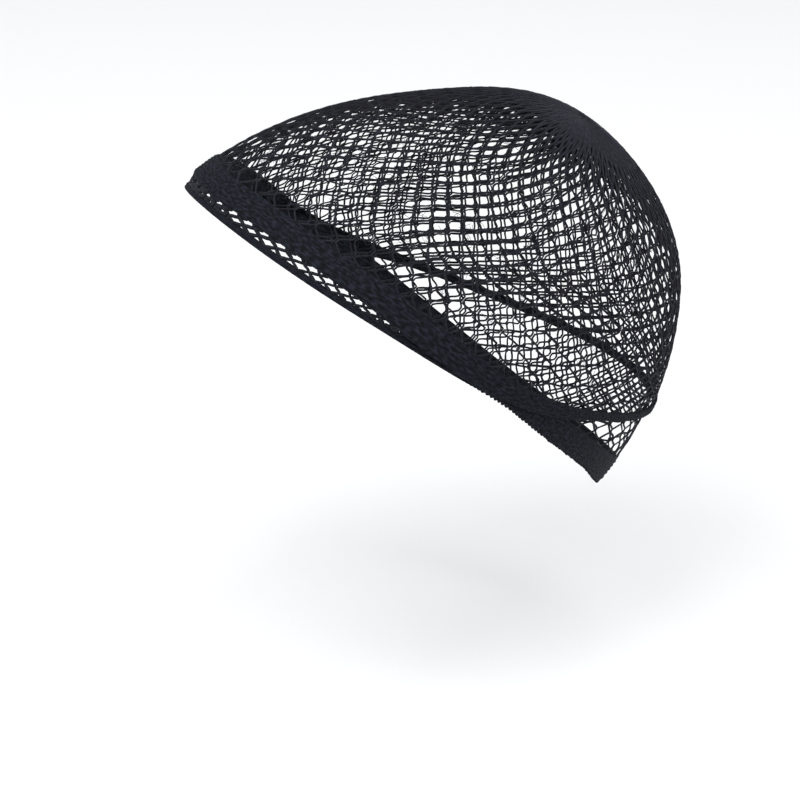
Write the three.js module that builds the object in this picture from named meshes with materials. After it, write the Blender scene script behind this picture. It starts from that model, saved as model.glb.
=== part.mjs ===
import * as THREE from "three";

// A stretch wig cap of two knitted net layers, shown in its worn form.
// Millimetres: +Z up, -Y to the wearer's forehead, +X to the wearer's left.
// The origin is the top of the hollow, inside the crown.

// Dome that the outer face of the outer net follows.
const domeBreadth = 148;
const frontReach = 105.8;
const backReach = 99.9;
const crownHeight = 69;
const napeDepth = 101;
const backRise = 6.8;
const backRiseElevation = 46.6;
const backRiseSpread = 23.6;
const foreheadNarrowing = 0.13;
const backWidening = 0.03;

// Walls and the space that separate pieces keep.
const netWall = 1.0;
const bandThickness = 1.8;
const layerGap = 0.5;
const edgeGap = 0.3;
const leastNetBetweenBands = 0.4;

// Full widths of the two knitted bands, which the outer one has at the sides
// and the inner one at the back.
const outerBandWidth = 10.5;
const innerBandWidth = 9.5;
const bandEdgeRound = 0.9;

// The gather that closes both layers behind the top of the dome.
const gatherBearing = 174;
const gatherElevation = 41.8;
const gatherRadius = 12;
const gatherPleats = 15;
const pleatDepth = 0.7;
const gatherCrest = 1.5;
const gatherEdgeLift = 0.4;
const gatherDimple = 0.9;
const gatherUnderside = 0.5;

// Facets.
const meridians = 60;
const outerNetRows = 13;
const rowsBetweenBands = 4;
const stepsInPleat = 4;
const gatherRings = 3;
const courseSamples = 720;

// Course of the bands, one row for each 15 degrees of bearing from the
// forehead round to the nape, the same on both sides. The first two columns
// are elevations, in degrees, of the outer band's upper edge and of the inner
// band's lower edge; the last two are each band's share of its full width.
const bearingStep = 15;
const bandCourse = [
  { outerTop: 42.4, innerLow: 33.6, outerShare: 0.81, innerShare: 0.25 },
  { outerTop: 42.2, innerLow: 32.5, outerShare: 0.81, innerShare: 0.25 },
  { outerTop: 39.8, innerLow: 29.2, outerShare: 0.81, innerShare: 0.25 },
  { outerTop: 35.2, innerLow: 23.8, outerShare: 0.81, innerShare: 0.25 },
  { outerTop: 28.3, innerLow: 16.3, outerShare: 0.86, innerShare: 0.28 },
  { outerTop: 17.6, innerLow: 6.5, outerShare: 0.9, innerShare: 0.5 },
  { outerTop: 4.0, innerLow: -4.6, outerShare: 0.73, innerShare: 0.87 },
  { outerTop: -6.3, innerLow: -18.0, outerShare: 0.5, innerShare: 1.0 },
  { outerTop: -13.1, innerLow: -29.0, outerShare: 0.31, innerShare: 1.0 },
  { outerTop: -18.2, innerLow: -37.0, outerShare: 0.27, innerShare: 1.0 },
  { outerTop: -21.4, innerLow: -42.0, outerShare: 0.27, innerShare: 1.0 },
  { outerTop: -23.0, innerLow: -44.4, outerShare: 0.27, innerShare: 1.0 },
  { outerTop: -23.6, innerLow: -45.2, outerShare: 0.27, innerShare: 1.0 },
];

// Lifts are heights above the outer net's outer face. The outer layer and its
// band lie over the inner layer and its band, a gap apart.
const outerLayerFloor = -netWall;
const innerLayerTop = outerLayerFloor - layerGap;
const innerLayerFloor = innerLayerTop - netWall;
const outerBandTop = outerLayerFloor + bandThickness;
const innerBandFloor = innerLayerTop - bandThickness;

const radians = THREE.MathUtils.degToRad;
const turn = 2 * Math.PI;

// Unit vector at a bearing from the forehead towards the wearer's left, and an
// elevation, both in degrees.
function domeDirection(bearing, elevation) {
  const b = radians(bearing);
  const e = radians(elevation);
  return new THREE.Vector3(
    Math.sin(b) * Math.cos(e),
    -Math.cos(b) * Math.cos(e),
    Math.sin(e),
  );
}

// The dome is four joined ellipsoid quarters, narrower at the forehead than at
// the back, with a low rise behind the top. A lift adds to every half axis.
const backRiseDirection = domeDirection(180, backRiseElevation);
function domeRadius(direction, lift) {
  const { x, y, z } = direction;
  const taper = (foreheadNarrowing + backWidening) / 2;
  const fullness = (foreheadNarrowing - backWidening) / 2;
  const halfBreadth = (domeBreadth / 2) * (1 + taper * y - fullness * y * y);
  const reach = y < 0 ? frontReach : backReach;
  const height = z > 0 ? crownHeight : napeDepth;
  const egg = Math.hypot(
    x / (halfBreadth + lift),
    y / (reach + lift),
    z / (height + lift),
  );
  const away = direction.angleTo(backRiseDirection) / radians(backRiseSpread);
  return 1 / egg + backRise * Math.exp(-away * away);
}

function domePoint(direction, lift) {
  return direction.clone().multiplyScalar(domeRadius(direction, lift));
}

// Directions are also given from the gather: an angle around it, from over the
// top towards the wearer's right, and an angle down from it.
const gather = domeDirection(gatherBearing, gatherElevation);
const gatherRight = new THREE.Vector3(0, 0, 1).cross(gather).normalize();
const gatherOver = gather.clone().cross(gatherRight).normalize();

function capDirection(around, down) {
  const side = Math.sin(down);
  return gather
    .clone()
    .multiplyScalar(Math.cos(down))
    .addScaledVector(gatherOver, Math.cos(around) * side)
    .addScaledVector(gatherRight, Math.sin(around) * side);
}

function fromGather(direction) {
  const around = Math.atan2(direction.dot(gatherRight), direction.dot(gatherOver));
  return { around: (around + turn) % turn, down: direction.angleTo(gather) };
}

// A column of the course at any bearing: a cubic through its rows whose slopes
// come from the rows beside them, mirrored past the forehead and the nape.
function courseAt(column, bearing) {
  const last = bandCourse.length - 1;
  const place = (Math.abs(bearing) % 360) / bearingStep;
  const folded = place > last ? 2 * last - place : place;
  const start = Math.min(Math.floor(folded), last - 1);
  const value = (index) => {
    const inside = Math.abs(index);
    return bandCourse[inside > last ? 2 * last - inside : inside][column];
  };
  const [before, from, to, after] = [-1, 0, 1, 2].map((k) => value(start + k));
  const t = folded - start;
  const slopeIn = (to - before) / 2;
  const slopeOut = (after - from) / 2;
  return (
    from +
    t * slopeIn +
    t * t * (3 * (to - from) - 2 * slopeIn - slopeOut) +
    t * t * t * (2 * (from - to) + slopeIn + slopeOut)
  );
}

function outerWidthAt(bearing) {
  return outerBandWidth * courseAt("outerShare", bearing);
}

function innerWidthAt(bearing) {
  return innerBandWidth * courseAt("innerShare", bearing);
}

// A line that runs round the dome beside a column of the course, moved
// square to it by an inset in millimetres, up towards the gather. The result
// gives the angle down from the gather for an angle around it.
function capLine(column, insetAt) {
  const directions = [];
  for (let i = 0; i < courseSamples; i++) {
    const bearing = (360 * i) / courseSamples;
    directions.push(domeDirection(bearing, courseAt(column, bearing)));
  }
  const places = directions.map((direction, i) => {
    const next = directions[(i + 1) % courseSamples];
    const previous = directions[(i + courseSamples - 1) % courseSamples];
    const along = next.clone().sub(previous);
    const upwards = along.cross(direction).normalize().negate();
    const bearing = (360 * i) / courseSamples;
    const angle = insetAt(bearing) / domeRadius(direction, 0);
    const moved = direction
      .clone()
      .multiplyScalar(Math.cos(angle))
      .addScaledVector(upwards, Math.sin(angle));
    return fromGather(moved);
  });
  places.sort((a, b) => a.around - b.around);
  return (around) => {
    const found = places.findIndex((place) => place.around > around);
    const after = found < 0 ? places[0] : places[found];
    const before = found > 0 ? places[found - 1] : places[places.length - 1];
    const span = (after.around - before.around + turn) % turn;
    const t = ((around - before.around + turn) % turn) / span;
    return THREE.MathUtils.lerp(before.down, after.down, t);
  };
}

const outerTopEdge = capLine("outerTop", () => 0);
const outerLowEdge = capLine("outerTop", (bearing) => -outerWidthAt(bearing));
const innerLowEdge = capLine("innerLow", () => 0);
const innerTopEdge = capLine("innerLow", innerWidthAt);
const outerNetEdge = capLine("outerTop", () => edgeGap);
const innerNetEdge = capLine("innerLow", (bearing) => innerWidthAt(bearing) + edgeGap);

const gatherDistance = domeRadius(gather, 0);
const gatherEdge = gatherRadius / gatherDistance;
const netStart = (gatherRadius + edgeGap) / gatherDistance;

// Triangles of a grid of points whose columns join round the cap and whose
// rows, a closed section, join round on themselves.
function ringTriangles(columns, rows) {
  const triangles = [];
  for (let c = 0; c < columns; c++) {
    const nextColumn = (c + 1) % columns;
    for (let r = 0; r < rows; r++) {
      const nextRow = (r + 1) % rows;
      const a = c * rows + r;
      const b = nextColumn * rows + r;
      const d = c * rows + nextRow;
      const e = nextColumn * rows + nextRow;
      triangles.push(a, b, d, b, e, d);
    }
  }
  return triangles;
}

function solidGeometry(points, triangles) {
  const geometry = new THREE.BufferGeometry();
  geometry.setFromPoints(points);
  geometry.setIndex(triangles);
  geometry.computeVertexNormals();
  return geometry;
}

// A solid that runs round the cap. Its section at each meridian is a closed
// list of places, each an angle down from the gather and a lift.
function ringGeometry(sectionAt) {
  const points = [];
  let rows = 0;
  for (let m = 0; m < meridians; m++) {
    const around = (turn * m) / meridians;
    const section = sectionAt(around);
    rows = section.length;
    for (const [down, lift] of section) {
      points.push(domePoint(capDirection(around, down), lift));
    }
  }
  return solidGeometry(points, ringTriangles(meridians, rows));
}

// A net layer: its outer face down from the gather, then its inner face back.
function netGeometry(downsAt, top, floor) {
  return ringGeometry((around) => {
    const downs = downsAt(around);
    const outside = downs.map((down) => [down, top]);
    const inside = downs.map((down) => [down, floor]).reverse();
    return [...outside, ...inside];
  });
}

function evenSteps(from, to, count) {
  return Array.from({ length: count + 1 }, (_, i) => {
    return THREE.MathUtils.lerp(from, to, i / count);
  });
}

function outerNetDowns(around) {
  return evenSteps(netStart, outerNetEdge(around), outerNetRows);
}

// The inner net has the outer net's rows, so that the gap between them is
// even, and goes on from the outer net's edge to its own. Where a wide inner
// band reaches up behind the outer net, those rows end just above that band.
function innerNetDowns(around) {
  const edge = innerNetEdge(around);
  const last = edge - leastNetBetweenBands / gatherDistance;
  const meeting = Math.min(outerNetEdge(around), last);
  const shared = evenSteps(netStart, meeting, outerNetRows);
  const further = evenSteps(meeting, edge, rowsBetweenBands);
  return [...shared.slice(0, -1), ...further];
}

// A band: a flat knitted strip with rounded edges.
function bandGeometry(topEdge, lowEdge, top, floor) {
  return ringGeometry((around) => {
    const high = topEdge(around);
    const low = lowEdge(around);
    const radius = domeRadius(capDirection(around, low), 0);
    const round = bandEdgeRound / radius;
    const middle = (top + floor) / 2;
    return [
      [high, middle],
      [high + round, top],
      [low - round, top],
      [low, middle],
      [low - round, floor],
      [high + round, floor],
    ];
  });
}

// The gather: a low pleated button that fills the nets' middle, with a crest
// round a dimple where the thread draws it in.
function gatherGeometry() {
  const columns = gatherPleats * stepsInPleat;
  const crestAt = (share) => {
    const rise = Math.sin(Math.PI * Math.sqrt(share));
    const slope = THREE.MathUtils.lerp(-gatherDimple, gatherEdgeLift, share);
    return slope + gatherCrest * rise;
  };
  const floor = innerLayerFloor - gatherUnderside;
  const points = [domePoint(gather, crestAt(0)), domePoint(gather, floor)];
  for (let c = 0; c < columns; c++) {
    const around = (turn * c) / columns;
    const fold = (1 - Math.cos(around * gatherPleats)) / 2;
    const reach = gatherEdge - (fold * pleatDepth) / gatherDistance;
    const shares = evenSteps(0, 1, gatherRings).slice(1);
    for (const share of shares) {
      const lift = crestAt(share) - fold * pleatDepth * share;
      points.push(domePoint(capDirection(around, reach * share), lift));
    }
    for (const share of shares.reverse()) {
      points.push(domePoint(capDirection(around, reach * share), floor));
    }
  }
  const rows = 2 * gatherRings;
  const triangles = [];
  for (let c = 0; c < columns; c++) {
    const here = 2 + c * rows;
    const next = 2 + ((c + 1) % columns) * rows;
    triangles.push(0, next, here);
    triangles.push(1, here + rows - 1, next + rows - 1);
    for (let r = 0; r < rows - 1; r++) {
      triangles.push(here + r, next + r, here + r + 1);
      triangles.push(next + r, next + r + 1, here + r + 1);
    }
  }
  return solidGeometry(points, triangles);
}

const netYarn = new THREE.MeshStandardMaterial({
  color: 0x191922,
  roughness: 0.85,
  metalness: 0,
});
const bandKnit = new THREE.MeshStandardMaterial({
  color: 0x14151c,
  roughness: 0.92,
  metalness: 0,
});
const gatheredYarn = new THREE.MeshStandardMaterial({
  color: 0x1c1c27,
  roughness: 0.8,
  metalness: 0,
});

const wigCap = new THREE.Group();
const hollowTop = domePoint(new THREE.Vector3(0, 0, 1), innerLayerFloor);
wigCap.position.copy(hollowTop).negate();

function addPiece(name, geometry, material) {
  const piece = new THREE.Mesh(geometry, material);
  piece.name = name;
  wigCap.add(piece);
}

addPiece("outer_net", netGeometry(outerNetDowns, 0, outerLayerFloor), netYarn);
addPiece("inner_net", netGeometry(innerNetDowns, innerLayerTop, innerLayerFloor), netYarn);
addPiece(
  "outer_band",
  bandGeometry(outerTopEdge, outerLowEdge, outerBandTop, outerLayerFloor),
  bandKnit,
);
addPiece(
  "inner_band",
  bandGeometry(innerTopEdge, innerLowEdge, innerLayerTop, innerBandFloor),
  bandKnit,
);
addPiece("crown_gather", gatherGeometry(), gatheredYarn);

export default wigCap;
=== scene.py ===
import math

import bpy
import numpy as np
from mathutils import Matrix, Vector


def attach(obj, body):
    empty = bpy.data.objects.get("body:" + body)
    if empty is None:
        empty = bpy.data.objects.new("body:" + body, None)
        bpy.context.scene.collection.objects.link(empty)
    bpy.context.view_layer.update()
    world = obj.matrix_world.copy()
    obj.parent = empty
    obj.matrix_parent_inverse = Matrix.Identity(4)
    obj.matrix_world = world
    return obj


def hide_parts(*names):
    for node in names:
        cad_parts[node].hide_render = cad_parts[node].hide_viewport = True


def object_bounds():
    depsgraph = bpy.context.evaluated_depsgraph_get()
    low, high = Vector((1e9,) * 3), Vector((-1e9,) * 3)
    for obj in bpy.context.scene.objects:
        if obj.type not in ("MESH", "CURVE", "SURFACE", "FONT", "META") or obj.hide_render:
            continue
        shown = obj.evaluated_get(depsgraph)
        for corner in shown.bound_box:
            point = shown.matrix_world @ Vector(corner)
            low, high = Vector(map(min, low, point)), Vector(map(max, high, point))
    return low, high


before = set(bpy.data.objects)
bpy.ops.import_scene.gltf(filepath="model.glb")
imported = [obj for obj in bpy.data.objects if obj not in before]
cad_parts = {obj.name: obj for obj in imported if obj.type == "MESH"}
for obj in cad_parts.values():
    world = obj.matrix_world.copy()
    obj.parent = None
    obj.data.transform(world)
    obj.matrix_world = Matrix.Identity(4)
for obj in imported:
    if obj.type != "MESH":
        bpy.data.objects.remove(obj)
cad_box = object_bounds()

# Metres: +Z up, -Y to the wearer's forehead, +X to the wearer's left. The cap is two layers of
# knitted net, each on an elastic band, drawn together in a gather behind the top.

MM = 0.001
TURN = 2 * math.pi

# Camera, by where it aims and how it turns round that point. The aim pixel is where the aim
# point lies in the image, from its left and its top.
IMAGE_SIDE = 800
AIM_PIXEL = (389.8, 402.8)
AIM_POINT = np.array([0, -3.126, -103.44]) * MM
CAMERA_AZIMUTH = 63
CAMERA_ELEVATION = 26
CAMERA_ROLL = 0.989
CAMERA_DISTANCE = 1300 * MM
FOCAL_LENGTH_PIXELS = 3825.9
SENSOR = 36
VIEW_END = 20


def sight_line(azimuth, elevation):
    """Unit vector from the aim point towards a camera or a light: sin a cos e, -cos a cos e,
    sin e for an azimuth a and an elevation e in degrees."""
    a, e = math.radians(azimuth), math.radians(elevation)
    return np.array([math.sin(a) * math.cos(e), -math.cos(a) * math.cos(e), math.sin(e)])


def add_camera():
    a, roll = math.radians(CAMERA_AZIMUTH), math.radians(CAMERA_ROLL)
    back = sight_line(CAMERA_AZIMUTH, CAMERA_ELEVATION)
    right = np.array([math.cos(a), math.sin(a), 0])
    up = np.cross(back, right)
    across = math.cos(roll) * right + math.sin(roll) * up
    upwards = math.cos(roll) * up - math.sin(roll) * right
    data = bpy.data.cameras.new("camera")
    data.sensor_width = SENSOR
    data.lens = FOCAL_LENGTH_PIXELS / IMAGE_SIDE * SENSOR
    data.shift_x = (IMAGE_SIDE / 2 - AIM_PIXEL[0]) / IMAGE_SIDE
    data.shift_y = (AIM_PIXEL[1] - IMAGE_SIDE / 2) / IMAGE_SIDE
    data.clip_end = VIEW_END
    camera = bpy.data.objects.new("camera", data)
    bpy.context.scene.collection.objects.link(camera)
    axes = np.column_stack([across, upwards, back, AIM_POINT + CAMERA_DISTANCE * back])
    camera.matrix_world = Matrix(np.vstack([axes, [0, 0, 0, 1]]).tolist())
    bpy.context.scene.camera = camera


add_camera()

# Dome that the cap is stretched to, as the frame has it. Lifts are heights above the outer
# net's outer face.
DOME_BREADTH = 148 * MM
FRONT_REACH = 105.8 * MM
BACK_REACH = 99.9 * MM
CROWN_HEIGHT = 69 * MM
NAPE_DEPTH = 101 * MM
BACK_RISE = 6.8 * MM
BACK_RISE_BEARING = 180
BACK_RISE_ELEVATION = 46.6
BACK_RISE_SPREAD = 23.6
FOREHEAD_NARROWING = 0.13
BACK_WIDENING = 0.03
GATHER_BEARING = 174
GATHER_ELEVATION = 41.8
MERIDIANS = 60
OUTER_LAYER = (-0.5 * MM, -0.5 * MM)
INNER_LAYER = (-2.0 * MM, -2.0 * MM)
FROM_OUTER_TO_INNER = (-0.4 * MM, -2.0 * MM)
HOLLOW_LIFT = -2.5 * MM

# Knit of both net layers, counted round the gather and down from it. Rows are half cells, and
# shifts are in columns, two to a cell. A span is where a change starts and where it is full.
CELLS_ROUND = 62
NET_ROWS = 28
INNER_SHIFT = 0.4
SIDE_CROWDING = 0.16
SAMPLES_IN_COLUMN = 4
BACK_SLOWING = 0.5
SLOWING_SPAN = (-0.2, 0.6)
CHAINS_START = 0.26
GATHERED_SWING = 0.2
ROWS_TO_OPEN = 6
OPEN_AT_ONCE = 0.1

# How links stray from their places, in columns and rows: by smooth waves, most of them the
# same for both layers, and by a jitter of each link's own.
STRAY_WAVES = {"waves": 9, "turns": 6, "steps": 6}
STRAY_DOWN = 3
SHIFT_STRAY = 0.6
SHARED_STRAY = 0.26
SHARED_COLUMN_SEED = 12
SHARED_ROW_SEED = 13
COLUMN_JITTER = 0.05
ROW_JITTER = 0.07

# Yarn of the net. Link and bend shares are parts of a row, the half gap's most is a part of a
# column, and bulks and unevenness are parts of the yarn's width.
STRAND_HALF_WIDTH = 0.34 * MM
STRAND_HALF_DEPTH = 0.3 * MM
STRAND_SIDES = 5
TOUCHING_HALF_GAP = 0.36 * MM
MOST_HALF_GAP = 0.3
LINK_SHARE = 0.17
BEND_SHARE = 0.38
STRAIGHTNESS = 0.6
LINK_RELIEF = 0.1 * MM
CROWN_BULK = 1.5
CROWN_BULK_REACH = 27 * MM
BACK_BULK = 0.32
BACK_BULK_SPAN = (0, 0.8)
LOW_BULK_SPAN = (0.5, 1)
YARN_SPREAD = 0.07
UNEVENNESS = 0.1
UNEVEN_WAVES = {"seed": 5, "waves": 6, "turns": 5, "steps": 5}
UNEVEN_AROUND = 9
UNEVEN_DOWN = 40

# Slits between the two bands over the forehead, and single cells between them at the back.
SLIT_CELLS = 84
SLIT_ROWS = 3
SLIT_SHIFT = 0.2
SLIT_HALF_ANGLE = 72
SLIT_MARGIN = 0.4 * MM
SLIT_YARN = 1.45
FOREHEAD_YARN = 0.9
FOREHEAD_REACH = 30
SKIRT_CELLS = 50
SKIRT_ROWS = 10
SKIRT_DEPTH = 34 * MM
SKIRT_YARN = 0.95
SKIRT_START_ANGLE = 84
NAPE_ANGLE = 180
HIDDEN_MARGIN = 1.2 * MM


def unit(vectors):
    return vectors / np.linalg.norm(vectors, axis=-1, keepdims=True)


def dome_direction(bearing, elevation):
    """Unit vector at a bearing from the forehead towards the wearer's left and an elevation."""
    b, e = np.radians(bearing), np.radians(elevation)
    return np.array([np.sin(b) * np.cos(e), -np.cos(b) * np.cos(e), np.sin(e)])


def dome_radius(directions, lift):
    """Four joined ellipsoid quarters, narrower at the forehead than at the back, plus a bell of
    height exp(-angle squared) behind the top. A lift adds to every half axis."""
    x, y, z = np.moveaxis(directions, -1, 0)
    taper = (FOREHEAD_NARROWING + BACK_WIDENING) / 2
    fullness = (FOREHEAD_NARROWING - BACK_WIDENING) / 2
    half_breadth = DOME_BREADTH / 2 * (1 + taper * y - fullness * y * y) + lift
    reach = np.where(y < 0, FRONT_REACH, BACK_REACH) + lift
    height = np.where(z > 0, CROWN_HEIGHT, NAPE_DEPTH) + lift
    egg = np.sqrt((x / half_breadth) ** 2 + (y / reach) ** 2 + (z / height) ** 2)
    rise = dome_direction(BACK_RISE_BEARING, BACK_RISE_ELEVATION)
    away = np.degrees(np.arccos(np.clip(directions @ rise, -1, 1))) / BACK_RISE_SPREAD
    return 1 / egg + BACK_RISE * np.exp(-away * away)


GATHER = dome_direction(GATHER_BEARING, GATHER_ELEVATION)
GATHER_RIGHT = unit(np.cross([0, 0, 1], GATHER))
GATHER_OVER = np.cross(GATHER, GATHER_RIGHT)
GATHER_DISTANCE = float(dome_radius(GATHER, 0))
HOLLOW_TOP = dome_radius(np.array([0.0, 0.0, 1.0]), HOLLOW_LIFT)
FORM_CENTRE = np.array([0, 0, -float(HOLLOW_TOP)])


def cap_direction(around, down):
    """Unit vector at an angle around the gather, from over the top towards the wearer's right,
    and an angle down from it."""
    over = np.cos(around)[..., None] * GATHER_OVER
    right = np.sin(around)[..., None] * GATHER_RIGHT
    return np.cos(down)[..., None] * GATHER + np.sin(down)[..., None] * (over + right)


def cap_point(around, down, lift):
    """The form centre plus the direction times the dome's radius there."""
    directions = cap_direction(around, down)
    return FORM_CENTRE + directions * dome_radius(directions, lift)[..., None]


def corners_about_gather(node):
    """Angles around and down from the gather of every corner of a CAD node."""
    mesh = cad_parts[node].data
    corners = np.empty(len(mesh.vertices) * 3)
    mesh.vertices.foreach_get("co", corners)
    directions = unit(corners.reshape(-1, 3) - FORM_CENTRE)
    around = np.arctan2(directions @ GATHER_RIGHT, directions @ GATHER_OVER) % TURN
    return around, np.arccos(np.clip(directions @ GATHER, -1, 1))


def band_edges(node):
    """Angles down of a CAD band's two edges: its corners lie on evenly spaced meridians, and
    the least and the greatest angle down on a meridian are the upper and the lower edge."""
    around, down = corners_about_gather(node)
    meridian = np.rint(around / TURN * MERIDIANS).astype(int) % MERIDIANS
    upper = np.full(MERIDIANS, np.inf)
    lower = np.full(MERIDIANS, -np.inf)
    np.minimum.at(upper, meridian, down)
    np.maximum.at(lower, meridian, down)
    return upper, lower


def along_ring(samples, around):
    """A closed cubic through evenly spaced samples, with slopes from the samples beside them."""
    count = len(samples)
    place = np.asarray(around) / TURN * count
    start = np.floor(place).astype(int)
    t = place - start
    before, here, after, beyond = (samples[(start + k) % count] for k in (-1, 0, 1, 2))
    bend = 2 * before - 5 * here + 4 * after - beyond
    return here + t / 2 * (after - before + t * (bend + t * (3 * (here - after) + beyond - before)))


outer_upper, outer_lower = band_edges("outer_band")
inner_upper, inner_lower = band_edges("inner_band")
GATHER_EDGE = corners_about_gather("crown_gather")[1].max()


def edge(samples, inset):
    """A band's edge as a function of the angle around, moved down by an inset in metres."""

    def angle_down(around):
        down = along_ring(samples, around)
        return down + inset / dome_radius(cap_direction(around, down), 0)

    return angle_down


def smooth_noise(around, along, seed, waves, turns, steps):
    """A sum of so many waves, sin(n around + k along + phase), each with a seeded whole number
    n up to the turns, a seeded k up to the steps and a seeded phase, scaled to about -1 to 1."""
    rng = np.random.default_rng(seed)
    total = 0
    for _ in range(waves):
        round_turns = rng.integers(-turns, turns + 1)
        along_steps = rng.uniform(-steps, steps)
        total = total + np.sin(round_turns * around + along_steps * along + rng.uniform(0, TURN))
    return total / math.sqrt(waves)


def smooth_step(low, high, values):
    """0 below the low value, 1 above the high one and t t (3 - 2 t) between them."""
    t = np.clip((values - low) / (high - low), 0, 1)
    return t * t * (3 - 2 * t)


def towards_back(around, span):
    """A smooth step between the span's two values of minus the cosine of the angle around,
    which is -1 over the forehead and 1 at the nape."""
    return smooth_step(*span, -np.cos(around))


# Meshes. Each yarn's texture starts so many millimetres further on than the last one's.

YARN_STAGGER = 7.3


def add_piece(name, points, faces, face_uvs, material, slot, *nodes):
    """One mesh from its points, blocks of faces with equal numbers of corners and their UVs.
    It rides on the cap and stands for the CAD nodes named. The slot is not used."""
    mesh = bpy.data.meshes.new(name)
    mesh.vertices.add(len(points))
    mesh.vertices.foreach_set("co", points.astype(np.float32).ravel())
    corners = np.concatenate([block.ravel() for block in faces])
    sizes = np.concatenate([np.full(len(block), block.shape[1]) for block in faces])
    mesh.loops.add(len(corners))
    mesh.loops.foreach_set("vertex_index", corners.astype(np.int32))
    mesh.polygons.add(len(sizes))
    mesh.polygons.foreach_set("loop_start", (np.cumsum(sizes) - sizes).astype(np.int32))
    mesh.polygons.foreach_set("use_smooth", np.ones(len(sizes), bool))
    uvs = np.concatenate([block.reshape(-1, 2) for block in face_uvs])
    mesh.uv_layers.new(name="UVMap").data.foreach_set("uv", uvs.astype(np.float32).ravel())
    mesh.update(calc_edges=True)
    mesh.validate()
    mesh.materials.append(material)
    piece = bpy.data.objects.new(name, mesh)
    bpy.context.scene.collection.objects.link(piece)
    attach(piece, "root")
    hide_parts(*nodes)


def tube_arrays(paths, normals, half_widths, half_depths, sides):
    """Flattened tubes: at each station an ellipse lies across the path, its wide axis square to
    the surface normal. Returns points, blocks of faces with closed ends, and the faces' UVs,
    which are millimetres along the tube, each tube's further on, and a share of the way
    round it."""
    count, stations, _ = paths.shape
    tangents = unit(np.gradient(paths, axis=1))
    across = unit(np.cross(normals, tangents))
    outwards = np.cross(tangents, across)
    angle = np.arange(sides) / sides * TURN
    wide = np.cos(angle)[:, None] * across[:, :, None] * half_widths[..., None, None]
    deep = np.sin(angle)[:, None] * outwards[:, :, None] * half_depths[..., None, None]
    points = (paths[:, :, None] + wide + deep).reshape(-1, 3)

    first = np.arange(count)[:, None, None] * stations * sides
    station = np.arange(stations - 1)[None, :, None]
    side = np.arange(sides)[None, None, :]
    following = (side + 1) % sides
    here = first + station * sides
    ahead = here + sides
    quads = np.stack([here + side, here + following, ahead + following, ahead + side], -1)
    ends = np.arange(count)[:, None] * stations * sides
    starts = ends + np.arange(sides)[::-1]
    stops = ends + (stations - 1) * sides + np.arange(sides)

    steps = np.linalg.norm(np.diff(paths, axis=1), axis=-1)
    length = np.concatenate([np.zeros((count, 1)), np.cumsum(steps, axis=1)], axis=1) / MM
    length = length + YARN_STAGGER * np.arange(count)[:, None]
    shape = (count, stations - 1, sides)
    u_here = np.broadcast_to(length[:, :-1, None], shape)
    u_ahead = np.broadcast_to(length[:, 1:, None], shape)
    v_here = np.broadcast_to(side / sides, shape)
    v_following = v_here + 1 / sides
    u = np.stack([u_here, u_here, u_ahead, u_ahead], -1)
    v = np.stack([v_here, v_following, v_following, v_here], -1)
    end_uvs = np.zeros((count, sides, 2))
    faces = [quads.reshape(-1, 4), starts, stops]
    return points, faces, [np.stack([u, v], -1), end_uvs, end_uvs]


def ring_arrays(points, along, across):
    """A closed skin over a grid whose columns join round the cap and whose rows, a closed
    section, join on themselves. UVs are the millimetres given for each column and row."""
    columns, rows, _ = points.shape
    column = np.arange(columns)[:, None]
    row = np.arange(rows)[None, :]
    next_column = (column + 1) % columns
    next_row = (row + 1) % rows
    corners = [
        column * rows + row,
        next_column * rows + row,
        next_column * rows + next_row,
        column * rows + next_row,
    ]
    quads = np.stack(corners, -1)
    shape = (columns, rows)
    u_here = np.broadcast_to(along[:-1, None], shape)
    u_next = np.broadcast_to(along[1:, None], shape)
    v_here = np.broadcast_to(across[None, :-1], shape)
    v_next = np.broadcast_to(across[None, 1:], shape)
    u = np.stack([u_here, u_next, u_next, u_here], -1)
    v = np.stack([v_here, v_here, v_next, v_next], -1)
    return points.reshape(-1, 3), [quads.reshape(-1, 4)], [np.stack([u, v], -1)]


# Materials.

FUZZ_SCALE = 5200
NOISE_DETAIL = 3
# Stops of the ramp from the dark to the light near-black; the light dashes are partly grain and
# partly painted highlight.
GRAIN_AND_HIGHLIGHT_STOPS = (0.42, 0.7)
BUMP_HEIGHT = 0.12 * MM
SHEEN_TINT = (0.72, 0.78, 1.0, 1)
SHEEN_ROUGHNESS = 0.45


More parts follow.
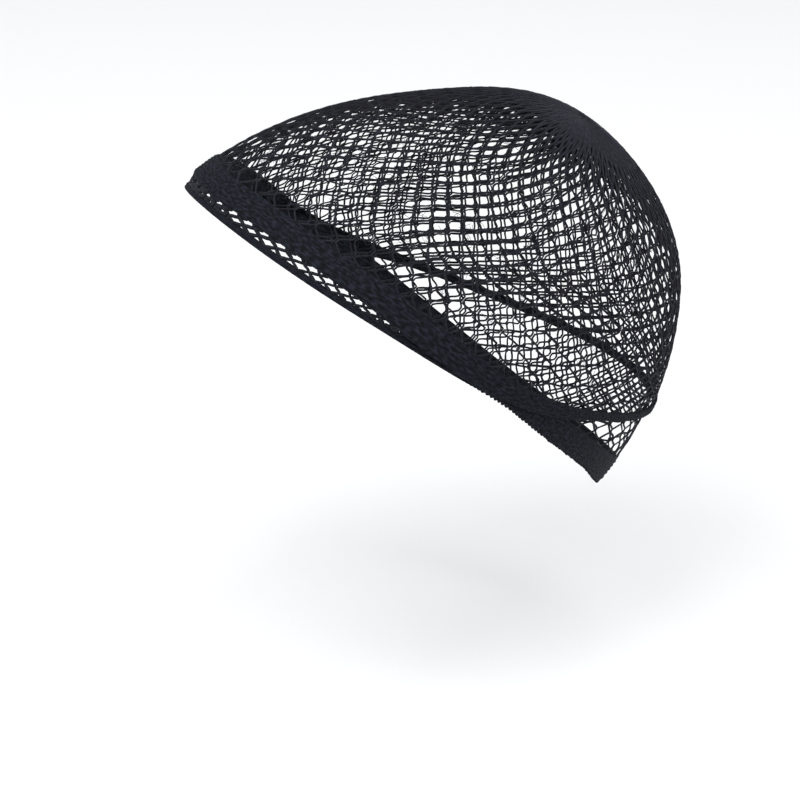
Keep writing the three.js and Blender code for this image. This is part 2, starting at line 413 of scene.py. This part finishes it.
def yarn_material(name, dark, light, finish, twists, dashes, twist_share, bump):
    """Textured yarn. Its colour runs between two near-blacks in dashes, so many to a
    millimetre along and across; the dashes are partly the yarn's own grain and partly painted
    highlight, the lighter ones standing in for glints on the grain. A twist of so many turns per
    millimetre, sin(2 pi (twists u + v)), and fine crimped filaments stand in the bump."""
    material = bpy.data.materials.new(name)
    material.use_nodes = True
    nodes, links = material.node_tree.nodes, material.node_tree.links
    shader = nodes["Principled BSDF"]

    def noise(vector, scale):
        node = nodes.new("ShaderNodeTexNoise")
        node.inputs["Scale"].default_value = scale
        node.inputs["Detail"].default_value = NOISE_DETAIL
        links.new(vector, node.inputs["Vector"])
        return node.outputs["Fac"]

    def combined(operation, *values):
        node = nodes.new("ShaderNodeMath")
        node.operation = operation
        for socket, value in zip(node.inputs, values):
            if isinstance(value, bpy.types.NodeSocket):
                links.new(value, socket)
            else:
                socket.default_value = value
        return node.outputs[0]

    place = nodes.new("ShaderNodeTexCoord")
    stretch = nodes.new("ShaderNodeMapping")
    stretch.inputs["Scale"].default_value = (*dashes, 1)
    links.new(place.outputs["UV"], stretch.inputs["Vector"])
    dash = noise(stretch.outputs["Vector"], 1)
    fuzz = noise(place.outputs["Object"], FUZZ_SCALE)
    # Colour ramp over the dash noise: the yarn's grain, with painted highlight in its lighter
    # dashes.
    colour = nodes.new("ShaderNodeValToRGB")
    for stop, position, tint in zip(colour.color_ramp.elements, GRAIN_AND_HIGHLIGHT_STOPS, (dark, light)):
        stop.position = position
        stop.color = (*tint, 1)
    links.new(dash, colour.inputs["Fac"])
    links.new(colour.outputs["Color"], shader.inputs["Base Color"])

    split = nodes.new("ShaderNodeSeparateXYZ")
    links.new(place.outputs["UV"], split.inputs["Vector"])
    lay = combined("MULTIPLY_ADD", split.outputs["X"], twists, split.outputs["Y"])
    wave = combined("SINE", combined("MULTIPLY", lay, TURN))
    relief = combined("MULTIPLY_ADD", wave, twist_share, combined("ADD", dash, fuzz))
    bumps = nodes.new("ShaderNodeBump")
    bumps.inputs["Strength"].default_value = bump
    bumps.inputs["Distance"].default_value = BUMP_HEIGHT
    links.new(relief, bumps.inputs["Height"])
    links.new(bumps.outputs["Normal"], shader.inputs["Normal"])

    shader.inputs["Roughness"].default_value = finish["roughness"]
    shader.inputs["Specular IOR Level"].default_value = finish["gloss"]
    shader.inputs["Sheen Weight"].default_value = finish["sheen"]
    shader.inputs["Sheen Roughness"].default_value = SHEEN_ROUGHNESS
    shader.inputs["Sheen Tint"].default_value = SHEEN_TINT
    return material


NET_YARN = yarn_material(
    "black_net_yarn",
    dark=(0.005, 0.005, 0.008),
    light=(0.016, 0.016, 0.025),
    finish={"roughness": 0.7, "gloss": 0.16, "sheen": 0.04},
    twists=0.9,
    dashes=(0.8, 2.0),
    twist_share=0.35,
    bump=0.5,
)
# The band's lighter bluish dashes are partly its knit grain and partly painted highlight.
BAND_KNIT = yarn_material(
    "black_band_knit",
    dark=(0.0025, 0.003, 0.0045),
    light=(0.016, 0.018, 0.028),
    finish={"roughness": 0.8, "gloss": 0.1, "sheen": 0.02},
    twists=0.35,
    dashes=(0.45, 1.7),
    twist_share=0.12,
    bump=0.8,
)
# The net's yarn painted a little lighter: painted light for the gather on top, where grazing light
# falls.
GATHER_YARN_PAINTED_LIGHTER = yarn_material(
    "gathered_black_yarn_painted_lighter",
    dark=(0.006, 0.006, 0.01),
    light=(0.018, 0.018, 0.028),
    finish={"roughness": 0.68, "gloss": 0.16, "sheen": 0.04},
    twists=0.9,
    dashes=(0.8, 2.0),
    twist_share=0.35,
    bump=0.5,
)


# Net.


def column_angles(count):
    """Angles round the gather of evenly counted columns of links, closer together at both
    sides of the cap: the angles at which the sum of 1 - crowding x cos(2 angle) comes to
    equal shares."""
    angle = np.linspace(0, TURN, SAMPLES_IN_COLUMN * count + 1)
    share = angle / TURN - SIDE_CROWDING * np.sin(2 * angle) / (2 * TURN)
    return angle, share * count


def net_strands(
    seed, start, end, rows, lift, column_shift, cells=CELLS_ROUND, rows_to_open=ROWS_TO_OPEN,
    slowing_at_back=BACK_SLOWING,
):
    """Paths of the knitted chains of a net layer. Each chain swings one column of links right
    and left, half a cell for each row, and touches the chain on that side at every swing, so
    that they close cells between them. Angles down go from start to end with shares
    s (1 + slowing (1 - s)) of the way, where the slowing is none over the forehead and grows
    to the back, and lifts go evenly from the first to the second. Links wander by smooth
    seeded noise, most of it the same for both layers. The swing grows over the first rows,
    from chains that lie side by side."""
    rng = np.random.default_rng(seed)
    columns = 2 * cells
    angle, place = column_angles(columns)
    column = np.arange(columns)[:, None]
    row = np.arange(rows + 1)[None, :]
    column_angle = column / columns * TURN
    drift = row / NET_ROWS * STRAY_DOWN

    def stray(noise_seed):
        return smooth_noise(column_angle, drift, noise_seed, **STRAY_WAVES)

    own_x = column_shift * (1 + SHIFT_STRAY * stray(seed))
    own_y = SHIFT_STRAY * column_shift * stray(seed + 1)
    link_x = column + own_x + SHARED_STRAY * stray(SHARED_COLUMN_SEED)
    link_x = link_x + rng.normal(0, COLUMN_JITTER, link_x.shape)
    link_y = row + own_y + SHARED_STRAY * stray(SHARED_ROW_SEED)
    link_y = link_y + rng.normal(0, ROW_JITTER, link_y.shape)
    link_y[:, 0] = 0
    link_y[:, -1] = rows

    chain = np.arange(columns)[:, None]
    swung = (chain + row) % 2
    link = chain + swung
    open_share = GATHERED_SWING + (1 - GATHERED_SWING) * smooth_step(0, rows_to_open, row)
    middle = chain + 0.5 + column_shift
    x = link_x[link % columns, row] + (link // columns) * columns
    x = middle + (x - middle) * open_share
    y = link_y[link % columns, row]
    side = (1.0 - 2.0 * swung) * open_share

    step = np.array([0, LINK_SHARE, BEND_SHARE, 1 - BEND_SHARE, 1 - LINK_SHARE])
    even = np.clip((step - LINK_SHARE) / (1 - 2 * LINK_SHARE), 0, 1)
    swing = STRAIGHTNESS * even + (1 - STRAIGHTNESS) * smooth_step(0, 1, even)

    def stations(values, blend):
        between = values[:, :-1, None] + (values[:, 1:, None] - values[:, :-1, None]) * blend
        return np.concatenate([between.reshape(len(values), -1), values[:, -1:]], axis=1)

    x, y, side = stations(x, swing), stations(y, step), stations(side, swing)
    around = np.interp(x % columns, place, angle)
    share = np.clip(y / rows, 0, 1)
    slowing = slowing_at_back * towards_back(around, SLOWING_SPAN)
    down = start(around) + (end(around) - start(around)) * share * (1 + slowing * (1 - share))
    radius = dome_radius(cap_direction(around, down), 0) * np.sin(down)
    widest = MOST_HALF_GAP * TURN / columns
    around = around + side * np.minimum(TOUCHING_HALF_GAP / radius, widest)
    relief = LINK_RELIEF * side * np.cos(np.pi * np.round(y))
    lifts = lift[0] + (lift[1] - lift[0]) * share + relief
    return around, down, lifts


def between_angles(strands, least, most):
    """The strands whose upper ends lie at so many degrees either way from over the top."""
    around = strands[0][:, 0]
    off = np.degrees(np.abs((around + math.pi) % TURN - math.pi))
    kept = (off >= least) & (off <= most)
    return tuple(values[kept] for values in strands)


def net_piece(name, strands, node, thick=1):
    """Uneven tubes along the strands, with a seed from the length of the name. They are bulkier
    by a bell of the distance from the gather, and low at the back, because the yarn isn't
    stretched there."""
    around, down, lifts = strands
    directions = cap_direction(around, down)
    paths = FORM_CENTRE + directions * dome_radius(directions, lifts)[..., None]
    rng = np.random.default_rng(len(name))
    yarn = thick * (1 + rng.normal(0, YARN_SPREAD, (len(around), 1)))
    waves = smooth_noise(around * UNEVEN_AROUND, down * UNEVEN_DOWN, **UNEVEN_WAVES)
    uneven = yarn * (1 + UNEVENNESS * waves)
    bulk = 1 + CROWN_BULK * np.exp(-((down * GATHER_DISTANCE / CROWN_BULK_REACH) ** 2))
    low = smooth_step(*LOW_BULK_SPAN, down / outer_rim(around))
    bulk = bulk + BACK_BULK * low * towards_back(around, BACK_BULK_SPAN)
    half_widths = STRAND_HALF_WIDTH * uneven * bulk
    half_depths = STRAND_HALF_DEPTH * uneven
    arrays = tube_arrays(paths, directions, half_widths, half_depths, STRAND_SIDES)
    add_piece(name, *arrays, NET_YARN, "net_yarn", node)


def under_gather(around):
    return np.full_like(around, GATHER_EDGE * CHAINS_START)


def slit_yarn(strands):
    """How thick the yarn between the slits is: more, by a bell of the angle around, towards
    the middle of the forehead."""
    off = np.degrees((strands[0] + math.pi) % TURN - math.pi) / FOREHEAD_REACH
    return SLIT_YARN + FOREHEAD_YARN * np.exp(-off * off)


outer_rim = edge(outer_upper, HIDDEN_MARGIN)
slit_top = edge(outer_lower, -SLIT_MARGIN)
slit_foot = edge(inner_upper, SLIT_MARGIN)
inner_hem = edge(inner_lower, -HIDDEN_MARGIN)


def below_skirt(around):
    """The skirt's rows are equally deep all round; what lies past the inner band is drawn in
    behind it."""
    return outer_rim(around) + SKIRT_DEPTH / GATHER_DISTANCE


def net_layer(name, node, seed, lift, column_shift):
    """One layer of the dome's net, from under the gather to inside the outer band."""
    strands = net_strands(seed, under_gather, outer_rim, NET_ROWS, lift, column_shift)
    net_piece(name, strands, node)


def slit_net():
    """Yarns between the slits over the forehead, from one band to the other."""
    strands = net_strands(
        seed=53, start=slit_top, end=slit_foot, rows=SLIT_ROWS, lift=FROM_OUTER_TO_INNER,
        column_shift=SLIT_SHIFT, cells=SLIT_CELLS, rows_to_open=OPEN_AT_ONCE, slowing_at_back=0,
    )
    strands = between_angles(strands, 0, SLIT_HALF_ANGLE)
    net_piece("forehead_slit_net", strands, "inner_net", thick=slit_yarn(strands))


def back_skirt():
    """The single net between the two bands at the back."""
    strands = net_strands(
        seed=37, start=outer_rim, end=below_skirt, rows=SKIRT_ROWS, lift=INNER_LAYER,
        column_shift=INNER_SHIFT, cells=SKIRT_CELLS, rows_to_open=OPEN_AT_ONCE, slowing_at_back=0,
    )
    around, down, lifts = between_angles(strands, SKIRT_START_ANGLE, NAPE_ANGLE)
    strands = (around, np.minimum(down, inner_hem(around)), lifts)
    net_piece("back_net_skirt", strands, "inner_net", thick=SKIRT_YARN)


net_layer("outer_net_strands", "outer_net", seed=11, lift=OUTER_LAYER, column_shift=0)
net_layer("inner_net_strands", "inner_net", seed=23, lift=INNER_LAYER, column_shift=INNER_SHIFT)
slit_net()
back_skirt()


# Loose filaments that cross some of the cells in small tangles. The tangles reach so far up
# from the outer band, as a share of the way to the gather, and are closer together low down.

TANGLES = 220
TANGLE_SEED = 71
TANGLE_REACH = 0.72
TANGLE_CROWDING = 1.3
TANGLE_SPREAD = 1.7 * MM
FILAMENTS_IN_TANGLE = 5
FILAMENT_HALF_WIDTH = 0.08 * MM
FILAMENT_STATIONS = 6
FILAMENT_SIDES = 3
FILAMENT_BOW = 1.1 * MM
FILAMENT_LIFT = -1.2 * MM
FILAMENT_LIFT_SPREAD = 0.5 * MM
MOST_SPREADS = 1.2


def loose_filaments():
    """Each filament is the curve (1 - t)^2 a + 2 t (1 - t) b + t^2 c, which runs from a to c
    and bows towards b, three points strewn about its tangle's middle."""
    rng = np.random.default_rng(TANGLE_SEED)
    middle_around = rng.uniform(0, TURN, (TANGLES, 1))
    rim = outer_rim(middle_around)
    middle_down = rim * (1 - TANGLE_REACH * rng.uniform(0, 1, (TANGLES, 1)) ** TANGLE_CROWDING)
    offsets = rng.normal(0, 1, (TANGLES, FILAMENTS_IN_TANGLE, 3, 2)) * TANGLE_SPREAD
    offsets[:, :, 1] *= FILAMENT_BOW / TANGLE_SPREAD
    t = np.linspace(0, 1, FILAMENT_STATIONS)[:, None]
    a, b, c = (offsets[:, :, k, None, :] for k in range(3))
    curve = (1 - t) ** 2 * a + 2 * t * (1 - t) * b + t * t * c
    radius = dome_radius(cap_direction(middle_around, middle_down), 0)
    around = middle_around[..., None] + curve[..., 0] / (radius * np.sin(middle_down))[..., None]
    down = middle_down[..., None] + curve[..., 1] / radius[..., None]
    count = TANGLES * FILAMENTS_IN_TANGLE
    around = around.reshape(count, FILAMENT_STATIONS)
    down = np.minimum(down.reshape(count, FILAMENT_STATIONS), outer_rim(around))
    strewn = rng.normal(0, 1, (count, 1)).clip(-MOST_SPREADS, MOST_SPREADS)
    lifts = FILAMENT_LIFT + FILAMENT_LIFT_SPREAD * strewn
    directions = cap_direction(around, down)
    paths = FORM_CENTRE + directions * dome_radius(directions, lifts)[..., None]
    half_widths = np.full(around.shape, FILAMENT_HALF_WIDTH)
    arrays = tube_arrays(paths, directions, half_widths, half_widths, FILAMENT_SIDES)
    add_piece("loose_net_filaments", *arrays, NET_YARN, "net_yarn", "outer_net")


loose_filaments()


# Bands. Faces are the lifts of a band's outer and inner side, and the closing step is what the
# last step across, back to the first, takes of the texture in millimetres.

BAND_COLUMNS = 1680
FACE_STEPS = 38
BACK_STEPS = 8
OUTLINE_POWER = 6
CLOSING_STEP = 1
OUTER_BAND_FACES = (0.4 * MM, -0.8 * MM)
INNER_BAND_FACES = (-1.5 * MM, -3.3 * MM)

# Knitted relief of the bands, with pitches, heights and strays in millimetres, apart from the
# strays of stitches, nubs and scallops, which are angles.
STITCHES_ROUND = 300
CREPE_WAVES = {"seed": 3, "waves": 12, "turns": 45, "steps": 0.8}
COURSE_PITCH = 1.15
COURSE_HEIGHT = 0.07
COURSE_STRAY = 0.2
STITCH_HEIGHT = 0.1
STITCH_STRAY = 1.6
STITCH_LEAST = 0.6
CRINKLE_WAVES = {"seed": 13, "waves": 14, "turns": 420, "steps": 5}
CRINKLE_HEIGHT = 0.07
RIB_WAVES = {"seed": 4, "waves": 9, "turns": 30, "steps": 0.5}
RIB_PITCH = 1.6
RIB_HEIGHT = 0.15
RIB_STRAY = 0.15
PINCH_HEIGHT = 0.05

# Edges of the bands, likewise. The power keeps an edge's relief off the middle of the band.
EDGE_POWER = 3
NUBS_ROUND = 225
NUB_WAVES = {"seed": 6, "waves": 9, "turns": 60, "steps": 0}
NUB_HEIGHT = 0.32
NUB_STRAY = 2.2
SCALLOPS_ROUND = 290
SCALLOP_WAVES = {"seed": 8, "waves": 9, "turns": 60, "steps": 0}
SCALLOP_HEIGHT = 0.4
SCALLOP_STRAY = 1.1
SCALLOP_POWER = 1.5
SCALLOP_OFFSET = 0.6
SCALLOP_SPAN = (-0.12, 0.12)
FRAY_WAVES = {"seed": 9, "waves": 9, "turns": 170, "steps": 0}
FRAY_HEIGHT = 0.12
SAG = 1.7
SAG_SPAN = (0.72, 0.92)


def band_piece(name, upper, lower, faces, relief, edge_relief, node):
    """A flat knitted strip: across it runs the closed outline |a|^n + |b|^n = 1 for the
    outline's power n, scaled to the strip's width and thickness, carried round the cap between
    its two edges. Steps across the outer side are s (3 - s^2) / 2 of even ones s, closer at
    the edges. The relief lifts the outer side and the edge relief moves the edges, both in
    millimetres, by how far round the cap and how far across the band a point is."""
    top, floor = faces
    around = np.arange(BAND_COLUMNS)[:, None] / BAND_COLUMNS * TURN
    even = np.linspace(-1, 1, FACE_STEPS)
    face = even * (3 - even**2) / 2
    back = np.sin(np.linspace(math.pi / 2, -math.pi / 2, BACK_STEPS))[1:-1]
    across = np.concatenate([face, back])[None, :]
    height = (1 - np.abs(across) ** OUTLINE_POWER) ** (1 / OUTLINE_POWER)
    height = np.where(np.arange(across.size)[None, :] < FACE_STEPS, height, -height)
    high, low = along_ring(upper, around), along_ring(lower, around)
    middle = (high + low) / 2
    radius = dome_radius(cap_direction(around, middle), 0)
    line = cap_point(around, middle, 0)[:, 0]
    steps = np.linalg.norm(np.roll(line, -1, axis=0) - line, axis=1)
    along = np.concatenate([[0], np.cumsum(steps)]) / MM
    turned = along[:-1, None] / along[-1] * TURN
    width = (low - high) * radius / MM
    inset = across * width / 2
    down = middle + across * (low - high) / 2
    down = down + edge_relief(turned, across, around) * MM / radius
    lift = (top + floor) / 2 + height * (top - floor) / 2
    lift = lift + relief(turned, inset) * MM * np.clip(height, 0, 1)
    points = cap_point(np.broadcast_to(around, down.shape), down, lift)
    section = np.abs(np.diff(across[0])) * width.mean() / 2 + np.abs(np.diff(height[0]))
    v = np.concatenate([[0], np.cumsum(section), [section.sum() + CLOSING_STEP]])
    add_piece(name, *ring_arrays(points, along, v), BAND_KNIT, "band_knit", node)


def crepe(turned, inset):
    """Crepe knit: lengthwise courses of stitches, each course half a stitch on from the next,
    wandering, crossed by finer uneven crinkles."""
    wander = smooth_noise(turned, inset, **CREPE_WAVES)
    course = np.cos(TURN * (inset + COURSE_STRAY * wander) / COURSE_PITCH)
    half_on = TURN * inset / COURSE_PITCH / 2
    stitch = np.cos(STITCHES_ROUND * turned + half_on + STITCH_STRAY * wander)
    stitch = stitch * (STITCH_LEAST + (1 - STITCH_LEAST) * course)
    crinkle = smooth_noise(turned, inset, **CRINKLE_WAVES)
    return COURSE_HEIGHT * course + STITCH_HEIGHT * stitch + CRINKLE_HEIGHT * crinkle


def ribbed(turned, inset):
    """Elastic rib: smooth lengthwise ribs, pinched at every stitch."""
    wander = smooth_noise(turned, inset, **RIB_WAVES)
    rib = np.cos(TURN * (inset + RIB_STRAY * wander) / RIB_PITCH)
    pinch = np.cos(STITCHES_ROUND * turned + wander)
    return RIB_HEIGHT * rib + PINCH_HEIGHT * pinch


def nubs(turned, across, around):
    """Small uneven loops on the upper edge."""
    wander = smooth_noise(turned, 0, **NUB_WAVES)
    beat = np.maximum(0, np.cos(NUBS_ROUND * turned + NUB_STRAY * wander)) ** 2
    uneven = (1 + np.abs(wander)) / 2
    return -NUB_HEIGHT * beat * uneven * (across < 0) * np.abs(across) ** EDGE_POWER


def scallops(turned, across, around):
    """A scalloped lower edge behind the sides, which runs out smooth over the forehead and
    sags a little at the nape."""
    wander = smooth_noise(turned, 0, **SCALLOP_WAVES)
    half_turn = (SCALLOPS_ROUND * turned + SCALLOP_STRAY * wander) / 2
    beat = 1 - 2 * np.abs(np.sin(half_turn)) ** SCALLOP_POWER
    fray = FRAY_HEIGHT * smooth_noise(turned, 0, **FRAY_WAVES)
    scallop = SCALLOP_HEIGHT * (beat - SCALLOP_OFFSET) + fray
    sag = SAG * towards_back(around, SAG_SPAN)
    lower = (across > 0) * np.abs(across) ** EDGE_POWER
    return (sag + towards_back(around, SCALLOP_SPAN) * scallop) * lower


band_piece(
    "outer_elastic_band", outer_upper, outer_lower, OUTER_BAND_FACES, crepe, nubs, "outer_band"
)
band_piece(
    "inner_elastic_band", inner_upper, inner_lower, INNER_BAND_FACES, ribbed, scallops,
    "inner_band",
)


# Gather. Reaches, lengths and widths are shares of its radius.

PLEATS = 15
PLEAT_COLUMNS = 12 * CELLS_ROUND
TOP_RINGS = 22
UNDERSIDE_RINGS = 5
KNOT_HEIGHT = 0.7 * MM
KNOT_REACH = 0.3
KNOT_SINK = 0.45 * MM
EDGE_DROP = 0.9 * MM
EDGE_DROP_POWER = 6
FINE_PLEAT_HEIGHT = 0.2 * MM
DEEP_PLEAT_HEIGHT = 0.3 * MM
PLEAT_SWING = 0.8
PLEAT_SWINGS_ROUND = 3
UNDERSIDE_PLEAT_HEIGHT = 0.2 * MM
CREASE_DEPTH = 1.3 * MM
CREASE_HALF_LENGTH = 0.28
CREASE_HALF_WIDTH = 0.08


def gather_lift(around, share):
    """Lift of the gather's outer side: a bell exp(-(share / reach)^2) less a sink and a drop
    towards its edge, plus pleats that are many and fine at the edge and few and deep towards
    the middle, less a crease exp(-(a/length)^2 - (b/width)^2) where the thread draws it in."""
    fine = FINE_PLEAT_HEIGHT * share * np.cos(2 * CELLS_ROUND * around)
    swing = PLEAT_SWING * np.sin(PLEAT_SWINGS_ROUND * around)
    deep = DEEP_PLEAT_HEIGHT * (1 - share) * np.sqrt(share) * np.cos(PLEATS * around + swing)
    a = share * np.cos(around) / CREASE_HALF_LENGTH
    b = share * np.sin(around) / CREASE_HALF_WIDTH
    crease = CREASE_DEPTH * np.exp(-a * a - b * b)
    crest = KNOT_HEIGHT * np.exp(-((share / KNOT_REACH) ** 2)) - KNOT_SINK
    return crest - EDGE_DROP * share**EDGE_DROP_POWER + fine + deep - crease


def gather_piece():
    """The pleated knot: rings of its outer side from the middle to its edge, rings of its
    underside back to the middle, and a fan that closes each side there."""
    around = np.arange(PLEAT_COLUMNS)[:, None] / PLEAT_COLUMNS * TURN
    share = (np.arange(1, TOP_RINGS + 1) / TOP_RINGS)[None, :]
    top = gather_lift(around, share)
    ring_share = np.linspace(1, 1 / UNDERSIDE_RINGS, UNDERSIDE_RINGS)[None, :]
    under = HOLLOW_LIFT + UNDERSIDE_PLEAT_HEIGHT * ring_share * np.cos(CELLS_ROUND * around)
    shares = np.concatenate([share, ring_share], axis=1)
    lifts = np.concatenate([top, under], axis=1)
    ring_around = np.broadcast_to(around, lifts.shape)
    ring_down = np.broadcast_to(GATHER_EDGE * shares, lifts.shape)
    ring = cap_point(ring_around, ring_down, lifts)
    rows = TOP_RINGS + UNDERSIDE_RINGS
    column = np.arange(PLEAT_COLUMNS)[:, None]
    row = np.arange(rows - 1)[None, :]
    following = (column + 1) % PLEAT_COLUMNS
    corners = [
        column * rows + row,
        following * rows + row,
        following * rows + row + 1,
        column * rows + row + 1,
    ]
    quads = np.stack(corners, -1).reshape(-1, 4)
    middles = np.array([-CREASE_DEPTH, HOLLOW_LIFT])
    points = np.concatenate([ring.reshape(-1, 3), cap_point(np.zeros(2), np.zeros(2), middles)])
    flat, after, centre = column[:, 0], following[:, 0], PLEAT_COLUMNS * rows
    upper = np.stack([np.full(PLEAT_COLUMNS, centre), after * rows, flat * rows], -1)
    lowest = rows - 1
    lower = np.stack(
        [np.full(PLEAT_COLUMNS, centre + 1), flat * rows + lowest, after * rows + lowest], -1
    )
    out = np.broadcast_to(shares * GATHER_EDGE * GATHER_DISTANCE / MM, lifts.shape).ravel()
    turned = np.broadcast_to(around / TURN * 2 * CELLS_ROUND, lifts.shape).ravel()
    uvs = [np.stack([out[quads], turned[quads]], -1)]
    uvs = uvs + [np.zeros((PLEAT_COLUMNS, 3, 2)), np.zeros((PLEAT_COLUMNS, 3, 2))]
    # The gather wears the net's yarn painted a little lighter, as painted light.
    add_piece(
        "crown_gather_pleats", points, [quads, upper, lower], uvs, GATHER_YARN_PAINTED_LIGHTER,
        "gathered_yarn", "crown_gather",
    )


gather_piece()


# Stage. Lights stand so many metres from the aim point, and their power is in watts.

FLOOR_HALF = 8
FLOOR_DROP = 60 * MM
FLOOR_COLOUR = (0.86, 0.86, 0.86, 1)
FLOOR_ROUGHNESS = 0.9
SKY_COLOUR = (0.95, 0.97, 1.0, 1)
SKY_STRENGTH = 0.6
KEY_LIGHT = {"azimuth": 20, "elevation": 55, "distance": 1.4, "size": 0.9, "power": 12}
TOP_LIGHT = {"azimuth": 120, "elevation": 75, "distance": 1.4, "size": 1.0, "power": 10}
SIDE_LIGHT = {"azimuth": 110, "elevation": 25, "distance": 1.5, "size": 0.8, "power": 4}


def add_light(name, azimuth, elevation, distance, size, power):
    """A square soft light at an azimuth and an elevation, facing the cap."""
    back = sight_line(azimuth, elevation)
    data = bpy.data.lights.new(name, "AREA")
    data.size = size
    data.energy = power
    light = bpy.data.objects.new(name, data)
    bpy.context.scene.collection.objects.link(light)
    light.location = Vector(AIM_POINT + distance * back)
    light.rotation_euler = Vector(-back).to_track_quat("-Z", "Y").to_euler()


def add_stage():
    drop = float(cad_box[0].z) - FLOOR_DROP
    mesh = bpy.data.meshes.new("floor")
    sides = [(-1, -1), (1, -1), (1, 1), (-1, 1)]
    corners = [(FLOOR_HALF * x, FLOOR_HALF * y, drop) for x, y in sides]
    mesh.from_pydata(corners, [], [(0, 1, 2, 3)])
    floor = bpy.data.objects.new("floor", mesh)
    bpy.context.scene.collection.objects.link(floor)
    material = bpy.data.materials.new("pale_floor")
    material.use_nodes = True
    shader = material.node_tree.nodes["Principled BSDF"]
    shader.inputs["Base Color"].default_value = FLOOR_COLOUR
    shader.inputs["Roughness"].default_value = FLOOR_ROUGHNESS
    mesh.materials.append(material)
    world = bpy.data.worlds.new("studio")
    bpy.context.scene.world = world
    world.use_nodes = True
    sky = world.node_tree.nodes["Background"]
    sky.inputs["Color"].default_value = SKY_COLOUR
    sky.inputs["Strength"].default_value = SKY_STRENGTH
    add_light("key_light", **KEY_LIGHT)
    add_light("top_light", **TOP_LIGHT)
    add_light("side_light", **SIDE_LIGHT)
    bpy.context.scene.view_settings.view_transform = "Standard"


add_stage()
